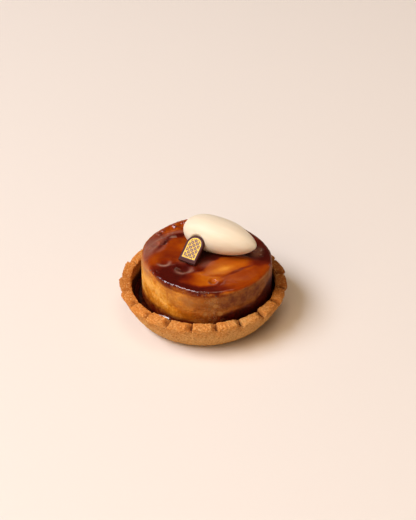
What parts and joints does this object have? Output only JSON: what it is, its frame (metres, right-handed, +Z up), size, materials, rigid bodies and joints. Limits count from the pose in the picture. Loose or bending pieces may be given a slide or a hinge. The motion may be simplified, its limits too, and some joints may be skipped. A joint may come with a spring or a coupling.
{
  "type": "tarte tatin",
  "caption": "Single-serving tarte tatin: a crimped shortcrust shell holding dark caramel and a tall round of caramelised apple, topped with a quenelle of cream and an arched chocolate plaque.",
  "frame": {"origin": "centre of the shell's flat base, which rests on the ground", "axes": "+Z up; -Y towards the viewer's side of the tart, where the plaque's face looks; +X to that viewer's right"},
  "size_m": [0.0811, 0.0808, 0.0487],
  "materials": {
    "shortcrust": "baked golden brown, dry and finely crumbed, matt",
    "caramel": "dark set caramel, wet and glossy",
    "caramelised_apple": "cooked apple soaked in caramel, amber to red brown, translucent, glossy on top",
    "cream": "ivory thick cream, smooth with a soft sheen",
    "chocolate": "dark chocolate with a satin sheen and a fine gold print on its face"
  },
  "bodies": {
    "root": {"crust": "shortcrust", "caramel": "caramel", "apple": "caramelised_apple", "cream": "cream", "plaque": "chocolate"}
  },
  "joints": []
}
